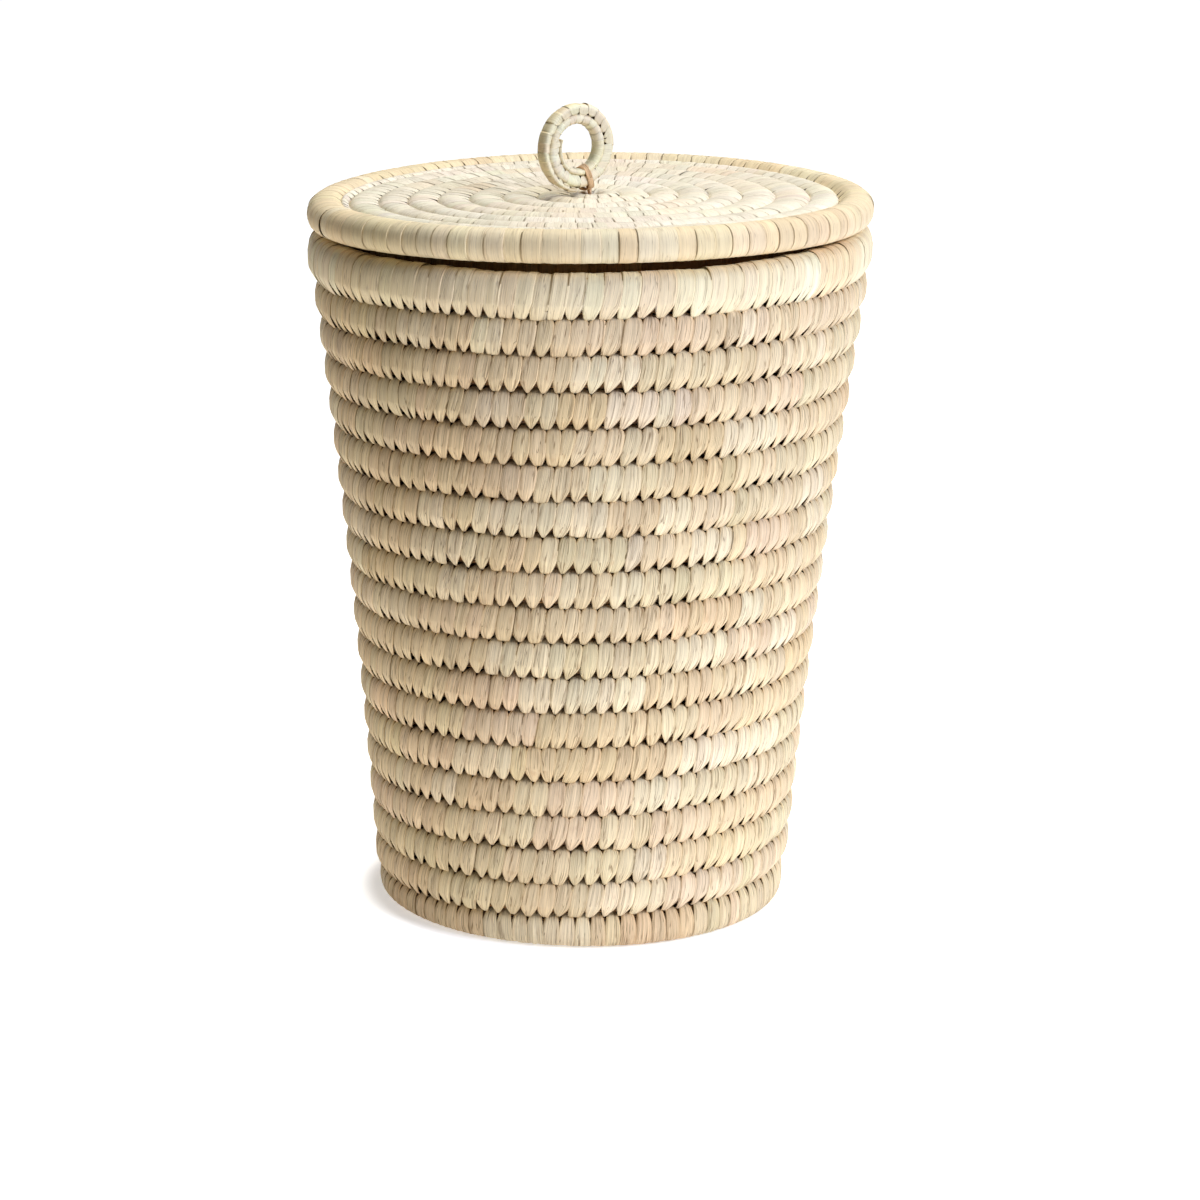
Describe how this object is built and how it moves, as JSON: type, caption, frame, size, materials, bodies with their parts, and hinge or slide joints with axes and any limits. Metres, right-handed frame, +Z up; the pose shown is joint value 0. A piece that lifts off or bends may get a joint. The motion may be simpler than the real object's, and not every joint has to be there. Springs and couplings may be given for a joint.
{
  "type": "lidded storage basket",
  "caption": "Round lidded storage basket of coiled palm fibre, with a flared wall, a thick rim and a finger ring on the lift-off lid.",
  "frame": {"origin": "centre of the basket's underside, on the floor", "axes": "+Z up through the mouth, -Y towards the front of the pictured view, +X to its right"},
  "size_m": [0.3988, 0.3988, 0.5744],
  "materials": {
    "palm_leaf": "dry palm leaf strips, satin, straw coloured, wrapped over a bundle of palm fibre",
    "pale_palm_leaf": "dry palm leaf strips, satin, pale cream",
    "shaded_palm_leaf": "dry palm leaf strips, matte, darker tan",
    "tan_palm_leaf": "one dry palm leaf strip, satin, orange tan"
  },
  "bodies": {
    "basket": {"base_coil": "palm_leaf", "wall_coil": "palm_leaf", "rim_coil": "palm_leaf"},
    "lid": {"lid_coil": "pale_palm_leaf", "lid_rim_coil": "pale_palm_leaf", "lid_locating_ring": "shaded_palm_leaf", "handle_ring": "pale_palm_leaf", "handle_tie": "tan_palm_leaf"}
  },
  "joints": [
    {"name": "lid_lift", "type": "slide", "parent": "basket", "child": "lid", "axis": [0, 0, 1], "range_m": [0, 0.3]}
  ]
}
